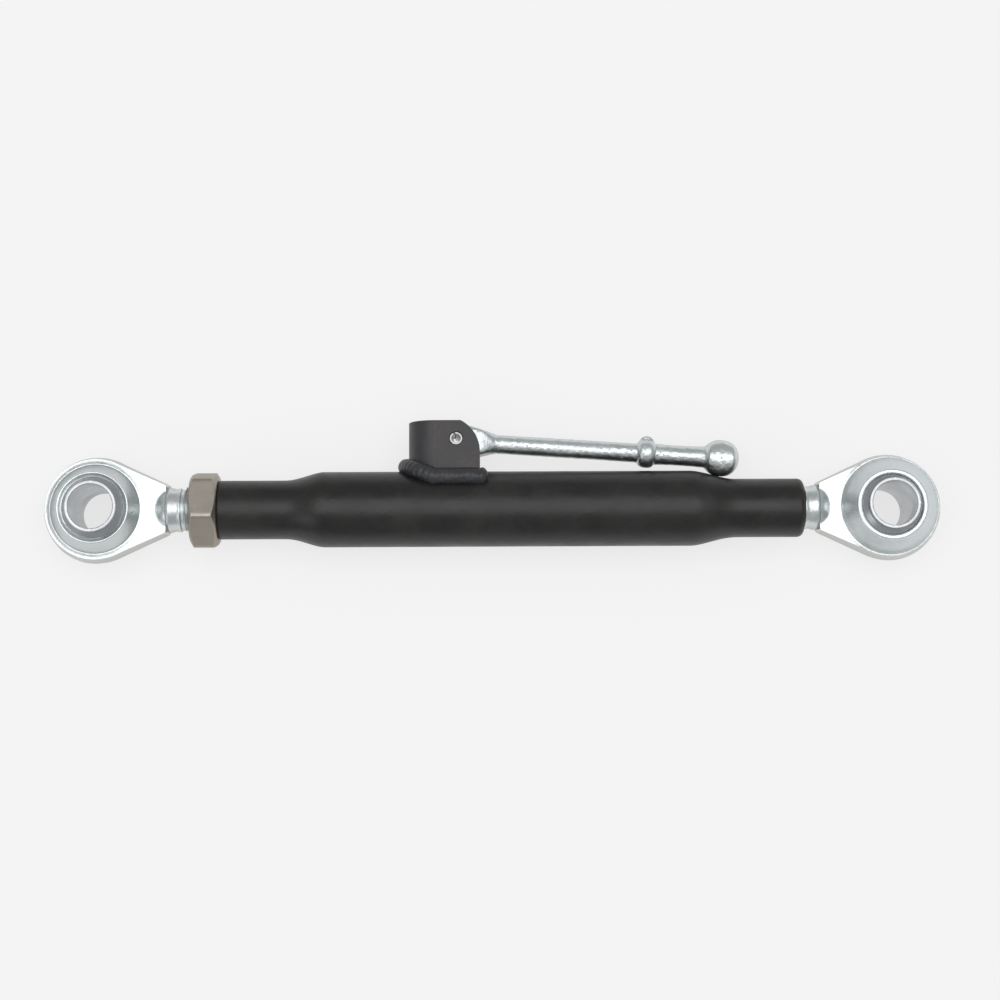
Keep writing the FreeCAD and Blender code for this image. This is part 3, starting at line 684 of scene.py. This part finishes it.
def zinc(name, hue, grain, pitting, depth, rough, floor_reflection_hue):
    """Bright zinc plate over a forged skin: grain, milky patches, dull pits and a painted brown floor reflection
    on the flanks.
    """
    made, tree, shader, where = new_material(name)
    skin = group(tree, "grain", Vector=where, Grain_Size=grain, Pitting=pitting)
    wear = group(tree, "edge", Vector=where, Amount=0.8).outputs["Wear"]
    marks = group(tree, "marks", Vector=where, Amount=0.45).outputs["Marks"]
    flank = group(tree, "flank", Start=0.62).outputs["Flank"]
    cloud = spread(tree, noise(tree, where, 95.0, 4.0, 0.6, 0.4), 0.3, 0.72)
    colour = mix(tree, cloud, shade(hue, 0.90), shade(hue))
    colour = mix(tree, maths(tree, "MULTIPLY", skin.outputs["Pits"], 0.55), colour, shade(hue, 0.5))
    # Painted reflection: flanks turned away from the bores' axis take the brown of the floor they face.
    colour = mix(tree, maths(tree, "MULTIPLY", flank, 0.8), colour, shade(floor_reflection_hue))
    colour = mix(tree, wear, colour, shade((0.93, 0.95, 0.96)))
    tree.links.new(colour, shader.inputs["Base Color"])
    shine = maths(tree, "ADD", spread(tree, cloud, 0, 1, rough - 0.05, rough + 0.08),
                  maths(tree, "MULTIPLY", marks, 0.12))
    polished = maths(tree, "SUBTRACT", shine, maths(tree, "MULTIPLY", wear, 0.08))
    tree.links.new(polished, shader.inputs["Roughness"])
    shader.inputs["Metallic"].default_value = 1.0
    bump(tree, shader, skin.outputs["Height"], depth)
    return made


def paint(name, hue, rough, orange_peel, runs):
    """Semi-gloss paint over steel: orange peel, a few runs, dust, and brown showing at edges."""
    made, tree, shader, where = new_material(name)
    skin = group(tree, "grain", Vector=where, Grain_Size=2.2, Pitting=0.25)
    wear = group(tree, "edge", Vector=where, Amount=0.7).outputs["Wear"]
    marks = group(tree, "marks", Vector=where, Amount=0.5).outputs["Marks"]
    cloud = spread(tree, noise(tree, where, 45.0, 4.0, 0.6, 0.5), 0.3, 0.7)
    colour = mix(tree, cloud, shade(hue, 0.8), shade(hue, 1.2))
    colour = mix(tree, maths(tree, "MULTIPLY", marks, 0.35), colour, (0.075, 0.072, 0.068, 1))
    colour = mix(tree, wear, colour, (0.085, 0.06, 0.045, 1))
    tree.links.new(colour, shader.inputs["Base Color"])
    shine = maths(tree, "ADD", spread(tree, cloud, 0, 1, rough - 0.05, rough + 0.07),
                  maths(tree, "MULTIPLY", marks, 0.14))
    tree.links.new(shine, shader.inputs["Roughness"])
    slow = noise(tree, where, 160.0, 2.0)
    height = maths(tree, "ADD", skin.outputs["Height"], maths(tree, "MULTIPLY", slow, runs))
    bump(tree, shader, height, orange_peel)
    return made


def steel(name, hue, rough, about_z=True):
    """Turned steel: fine rings round its axis, faint stains and bright edges."""
    made, tree, shader, where = new_material(name)
    split = node(tree, "ShaderNodeSeparateXYZ", Vector=where)
    level = split.outputs["Z"] if about_z else split.outputs["X"]
    wave = noise(tree, node(tree, "ShaderNodeCombineXYZ", X=maths(tree, "MULTIPLY", level, 1.0)).outputs[0],
                 2600.0, 2.0)
    wear = group(tree, "edge", Vector=where, Amount=0.8).outputs["Wear"]
    marks = group(tree, "marks", Vector=where, Amount=0.6).outputs["Marks"]
    skin = group(tree, "grain", Vector=where, Grain_Size=0.7, Pitting=0.15)
    colour = mix(tree, spread(tree, noise(tree, where, 70.0, 4.0), 0.3, 0.7), shade(hue, 0.82), shade(hue, 1.08))
    colour = mix(tree, maths(tree, "MULTIPLY", marks, 0.4), colour, shade(hue, 0.6))
    colour = mix(tree, wear, colour, (0.9, 0.92, 0.94, 1))
    tree.links.new(colour, shader.inputs["Base Color"])
    tree.links.new(spread(tree, marks, 0, 1, rough, rough + 0.18), shader.inputs["Roughness"])
    shader.inputs["Metallic"].default_value = 1.0
    height = maths(
        tree, "ADD", maths(tree, "MULTIPLY", wave, 0.7),
        maths(tree, "MULTIPLY", skin.outputs["Height"], 0.5))
    bump(tree, shader, height, 0.00004)
    return made


MATERIALS = {}


# ---------------------------------------------------------------- properties and operators


class TopLinkFinish(bpy.types.PropertyGroup):
    zinc_hue: FloatVectorProperty(
        name="Zinc", description="Colour of the zinc plate on the ball ends", subtype="COLOR",
        default=(0.74, 0.79, 0.80), min=0, max=1)
    # Colour of the painted reflection of the brown floor on the zinc flanks.
    floor_reflection_hue: FloatVectorProperty(
        name="Zinc floor reflection", description="Painted reflection of the brown floor on the forged flanks", subtype="COLOR",
        default=(0.40, 0.36, 0.31), min=0, max=1)
    nut_hue: FloatVectorProperty(
        name="Nut", description="Dull plate of the lock nut", subtype="COLOR",
        default=(0.46, 0.42, 0.37), min=0, max=1)
    ball_hue: FloatVectorProperty(
        name="Ball", description="Steel of the swivel balls", subtype="COLOR",
        default=(0.52, 0.54, 0.56), min=0, max=1)
    paint_hue: FloatVectorProperty(
        name="Paint", description="Black paint of the barrel", subtype="COLOR",
        default=(0.011, 0.010, 0.0095), min=0, max=1)
    bracket_hue: FloatVectorProperty(
        name="Bracket paint", description="Dark grey paint of the bracket and its weld",
        subtype="COLOR", default=(0.036, 0.038, 0.044), min=0, max=1)


class TopLinkStudio(bpy.types.PropertyGroup):
    lamp_power: FloatProperty(
        name="Lamp power", description="Power of the overhead softbox", default=14.0, min=0, unit="POWER")
    world_level: FloatProperty(
        name="Sky level", description="Strength of the plain studio light", default=0.42, min=0)
    floor_hue: FloatVectorProperty(
        name="Floor", description="Colour of the pale floor", subtype="COLOR",
        default=(0.86, 0.86, 0.86), min=0, max=1)


class TOPLINK_OT_finishes(bpy.types.Operator):
    """Make the shared shader groups and every material of the link"""

    bl_idname = "toplink.finishes"
    bl_label = "Finishes"

    def execute(self, context):
        finish = context.scene.top_link_finish
        GROUPS.update(grain=grain_group(), edge=edge_group(), flank=floor_reflection_group(), marks=dust_group())
        zinc_hue, floor_reflection_hue = tuple(finish.zinc_hue), tuple(finish.floor_reflection_hue)
        MATERIALS["forging"] = zinc("zinc_forging_plate", zinc_hue, 1.3, 0.35, 0.00016, 0.30, floor_reflection_hue)
        MATERIALS["handle"] = zinc("zinc_handle_plate", zinc_hue, 1.5, 0.75, 0.00034, 0.30, floor_reflection_hue)
        # The last colour is the painted brown floor reflection on the nut's flanks.
        MATERIALS["nut"] = zinc("zinc_nut_plate", tuple(finish.nut_hue), 0.8, 0.3, 0.00008, 0.42,
                                (0.36, 0.30, 0.24))
        MATERIALS["ball"] = steel("swivel_ball_steel", tuple(finish.ball_hue), 0.30)
        MATERIALS["pin"] = steel("spring_pin_steel", (0.42, 0.42, 0.42), 0.32)
        MATERIALS["paint"] = paint("barrel_paint", tuple(finish.paint_hue), 0.36, 0.00010, 1.6)
        MATERIALS["bracket"] = paint("bracket_paint_coat", tuple(finish.bracket_hue), 0.40, 0.00012, 1.2)
        MATERIALS["weld"] = paint("weld_paint_coat", tuple(finish.bracket_hue), 0.36, 0.00022, 0.8)
        return {"FINISHED"}


class TOPLINK_OT_ball_ends(bpy.types.Operator):
    """Build both forged ball ends with their threaded shanks"""

    bl_idname = "toplink.ball_ends"
    bl_label = "Ball ends"

    def execute(self, context):
        for side, boss, hand, body in (("left", 0.95, -1, "left_end"), ("right", 3.35, 1, "right_end")):
            right = side == "right"
            eye = mesh_from_grid(place_end(eye_shell(boss, 40 + right * 9), right), along=True)
            shank = mesh_from_grid(place_end(shank_shell(hand, 50 + right), right))
            made = make_piece(f"{side}_forging", [eye, shank], MATERIALS["forging"], body, 50)
            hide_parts(f"{side}_ball_end")
        return {"FINISHED"}


class TOPLINK_OT_balls(bpy.types.Operator):
    """Build both swivel balls"""

    bl_idname = "toplink.balls"
    bl_label = "Swivel balls"

    def execute(self, context):
        for side, at in (("left", 0.0), ("right", LINK_LENGTH)):
            shell = mesh_from_grid(ball_shell() + np.array([at, 0, 0]), along=True)
            made = make_piece(f"{side}_swivel_ball", [shell], MATERIALS["ball"], f"{side}_swivel", 30)
            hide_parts(f"{side}_ball")
        return {"FINISHED"}


class TOPLINK_OT_nut(bpy.types.Operator):
    """Build the lock nut"""

    bl_idname = "toplink.nut"
    bl_label = "Lock nut"

    def execute(self, context):
        shell = mesh_from_grid(nut_shell(), along=True)
        made = make_piece("lock_nut_plated", [shell], MATERIALS["nut"], "nut", 40)
        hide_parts("lock_nut")
        return {"FINISHED"}


class TOPLINK_OT_barrel(bpy.types.Operator):
    """Build the painted barrel tube"""

    bl_idname = "toplink.barrel"
    bl_label = "Barrel"

    def execute(self, context):
        shell = mesh_from_grid(barrel_shell(), along=True)
        made = make_piece("barrel_painted", [shell], MATERIALS["paint"], "barrel", 40)
        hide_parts("barrel_tube")
        return {"FINISHED"}


class TOPLINK_OT_bracket(bpy.types.Operator):
    """Round the edges of the handle bracket and lay its weld bead"""

    bl_idname = "toplink.bracket"
    bl_label = "Bracket and weld"

    def execute(self, context):
        made = softened_copy("handle_bracket", "bracket_plate", 0.8, MATERIALS["bracket"], "barrel")
        bead = make_piece("weld_bead", [mesh_from_grid(weld_shell())], MATERIALS["weld"], "barrel", 60)
        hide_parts("bracket_weld")
        pin = softened_copy("handle_pin", "spring_pin", 0.15, MATERIALS["pin"], "barrel")
        return {"FINISHED"}


class TOPLINK_OT_handle(bpy.types.Operator):
    """Build the forged folding handle"""

    bl_idname = "toplink.handle"
    bl_label = "Folding handle"

    def execute(self, context):
        lug = disc_shell(111.5, 5.4, 4.7, 3.2, 1.5)
        ridges = [mesh_from_grid(ridge_shell(shift)) for shift in (0.0, 2.2)]
        parts = [mesh_from_grid(handle_shell()), mesh_from_grid(lug)] + ridges
        made = make_piece("folding_handle_forging", parts, MATERIALS["handle"], "folding_handle", 60)
        remesh(made, 0.36)
        cutter = [mesh_from_grid(disc_shell(0, 0, 4.06, 14, 0.01)),
                  mesh_from_grid(disc_shell(111.5, 7.8, 0.8, 9, 0.01, 24))]
        bore(made, cutter)
        coords = np.empty(len(made.data.vertices) * 3, dtype=np.float32)
        made.data.vertices.foreach_get("co", coords)
        laid = handle_frame(coords.reshape(-1, 3) / MM) * MM
        made.data.vertices.foreach_set("co", laid.astype(np.float32).ravel())
        made.data.update()
        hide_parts("handle")
        return {"FINISHED"}


def apply_modifiers(made):
    """Bake an object's modifiers into its mesh."""
    graph = bpy.context.evaluated_depsgraph_get()
    baked = bpy.data.meshes.new_from_object(made.evaluated_get(graph))
    made.modifiers.clear()
    made.data = baked


def remesh(made, voxel):
    """Melt overlapping shells into one skin and soften it."""
    melt = made.modifiers.new("melt", "REMESH")
    melt.mode, melt.voxel_size, melt.adaptivity = "VOXEL", voxel * MM, 0.0
    melt.use_smooth_shade = True
    soften = made.modifiers.new("soften", "SMOOTH")
    soften.factor, soften.iterations = 0.5, 4
    material = made.data.materials[0]
    apply_modifiers(made)
    made.data.materials.clear()
    made.data.materials.append(material)
    made.data.shade_smooth()


def bore(made, parts):
    """Drill holes through a piece with closed cutters."""
    cutter = make_piece("drill", parts, MATERIALS["pin"], "folding_handle")
    cut = made.modifiers.new("drill", "BOOLEAN")
    cut.operation, cut.solver, cut.object = "DIFFERENCE", "EXACT", cutter
    material = made.data.materials[0]
    apply_modifiers(made)
    made.data.materials.clear()
    made.data.materials.append(material)
    bpy.data.objects.remove(cutter)
    made.data.shade_smooth()
    made.data.set_sharp_from_angle(angle=math.radians(50))


def softened_copy(source, name, width, material, body):
    """Merged copy of a CAD node with rounded edges."""
    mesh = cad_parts[source].data.copy()
    mesh.name = name
    work = bmesh.new()
    work.from_mesh(mesh)
    bmesh.ops.remove_doubles(work, verts=work.verts, dist=1e-6)
    bmesh.ops.dissolve_limit(work, angle_limit=math.radians(1.0), verts=work.verts, edges=work.edges)
    bmesh.ops.recalc_face_normals(work, faces=work.faces)
    work.to_mesh(mesh)
    work.free()
    made = bpy.data.objects.new(name, mesh)
    bpy.context.scene.collection.objects.link(made)
    mesh.materials.clear()
    mesh.materials.append(material)
    soft = made.modifiers.new("soft_edges", "BEVEL")
    soft.width, soft.segments, soft.limit_method = width * MM, 3, "ANGLE"
    soft.angle_limit, soft.harden_normals = math.radians(35), False
    mesh.shade_smooth()
    mesh.set_sharp_from_angle(angle=math.radians(60))
    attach(made, body)
    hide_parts(source)
    return made


class TOPLINK_OT_studio(bpy.types.Operator):
    """Lay the pale floor, hang the soft lamps and place the camera"""

    bl_idname = "toplink.studio"
    bl_label = "Studio"

    def execute(self, context):
        studio = context.scene.top_link_studio
        self.floor(studio)
        self.world(context, studio)
        self.lamps(context, studio)
        self.camera(context)
        context.scene.view_settings.view_transform = "Standard"
        return {"FINISHED"}

    def floor(self, studio):
        level = CAD_BOX[0].z - 0.0001
        corners = [(-30.0, -30.0, level), (30.0, -30.0, level), (30.0, 30.0, level), (-30.0, 30.0, level)]
        mesh = bpy.data.meshes.new("studio_floor")
        mesh.from_pydata(corners, [], [(0, 1, 2, 3)])
        made = bpy.data.objects.new("studio_floor", mesh)
        bpy.context.scene.collection.objects.link(made)
        material, tree, shader, where = new_material("studio_floor_paper")
        fibre = spread(tree, noise(tree, where, 220.0, 3.0), 0, 1, 0.97, 1.0)
        hue = tuple(studio.floor_hue)
        colour = mix(tree, fibre, shade(hue, 0.96), shade(hue))
        tree.links.new(colour, shader.inputs["Base Color"])
        shader.inputs["Roughness"].default_value = 0.9
        shader.inputs["Specular IOR Level"].default_value = 0.0
        light = tree.nodes.new("ShaderNodeEmission")
        light.inputs["Color"].default_value = (1, 1, 1, 1)
        light.inputs["Strength"].default_value = 1.0
        paths = tree.nodes.new("ShaderNodeLightPath").outputs
        seen = maths(tree, "MAXIMUM", paths["Is Camera Ray"],
                     maths(tree, "MAXIMUM", paths["Is Glossy Ray"], paths["Is Transmission Ray"]))
        # Seen directly or in a reflection, the floor is a white sheet that still takes a shadow.
        share = maths(tree, "MULTIPLY", seen, 0.72)
        blend = tree.nodes.new("ShaderNodeMixShader")
        tree.links.new(share, blend.inputs[0])
        tree.links.new(shader.outputs[0], blend.inputs[1])
        tree.links.new(light.outputs[0], blend.inputs[2])
        out = next(n for n in tree.nodes if n.type == "OUTPUT_MATERIAL")
        tree.links.new(blend.outputs[0], out.inputs[0])
        mesh.materials.append(material)

    def world(self, context, studio):
        world = bpy.data.worlds.new("studio_sky")
        context.scene.world = world
        world.use_nodes = True
        tree = world.node_tree
        background = tree.nodes["Background"]
        background.inputs["Color"].default_value = (1.0, 1.0, 1.0, 1)
        background.inputs["Strength"].default_value = studio.world_level

    def lamps(self, context, studio):
        self.lamp("overhead_softbox", (0.23, 0.12, 1.75), (0.23, 0.0, 0.0), 2.2, 1.3, studio.lamp_power)
        self.lamp("side_fill", (-1.3, -1.1, 1.1), (0.2, 0.0, 0.0), 1.0, 1.0, studio.lamp_power * 0.2)

    def lamp(self, name, at, to, width, depth, power):
        from mathutils import Vector

        data = bpy.data.lights.new(name, "AREA")
        data.shape, data.size, data.size_y, data.energy = "RECTANGLE", width, depth, power
        made = bpy.data.objects.new(name, data)
        made.location = at
        made.rotation_euler = (Vector(to) - Vector(at)).to_track_quat("-Z", "Y").to_euler()
        bpy.context.scene.collection.objects.link(made)

    def camera(self, context):
        data = bpy.data.cameras.new("studio_camera")
        data.sensor_width, data.lens = 36.0, 72.763
        data.clip_start, data.clip_end = 0.01, 100.0
        made = bpy.data.objects.new("studio_camera", data)
        made.location = (0.22048, -0.12677, 1.17431)
        made.rotation_mode = "ZYX"
        made.rotation_euler = (0.111988, -0.011904, -0.004177)
        bpy.context.scene.collection.objects.link(made)
        context.scene.camera = made


class TOPLINK_PT_panel(bpy.types.Panel):
    """Pieces and finishes of the top link"""

    bl_idname = "TOPLINK_PT_panel"
    bl_label = "Top Link"
    bl_space_type = "VIEW_3D"
    bl_region_type = "UI"
    bl_category = "Top Link"

    def draw(self, context):
        for settings in (context.scene.top_link_finish, context.scene.top_link_studio):
            for name in settings.bl_rna.properties.keys():
                if name not in {"rna_type", "name"}:
                    self.layout.prop(settings, name)
        for made in OPERATORS:
            self.layout.operator(made.bl_idname)


OPERATORS = (
    TOPLINK_OT_finishes, TOPLINK_OT_ball_ends, TOPLINK_OT_balls, TOPLINK_OT_nut, TOPLINK_OT_barrel,
    TOPLINK_OT_bracket, TOPLINK_OT_handle, TOPLINK_OT_studio,
)
CLASSES = (TopLinkFinish, TopLinkStudio, *OPERATORS, TOPLINK_PT_panel)


def register():
    for made in CLASSES:
        bpy.utils.register_class(made)
    bpy.types.Scene.top_link_finish = PointerProperty(type=TopLinkFinish)
    bpy.types.Scene.top_link_studio = PointerProperty(type=TopLinkStudio)


def unregister():
    del bpy.types.Scene.top_link_finish
    del bpy.types.Scene.top_link_studio
    for made in reversed(CLASSES):
        bpy.utils.unregister_class(made)


def main():
    register()
    bpy.ops.toplink.finishes()
    bpy.ops.toplink.ball_ends()
    bpy.ops.toplink.balls()
    bpy.ops.toplink.nut()
    bpy.ops.toplink.barrel()
    bpy.ops.toplink.bracket()
    bpy.ops.toplink.handle()
    bpy.ops.toplink.studio()


if __name__ == "__main__":
    main()
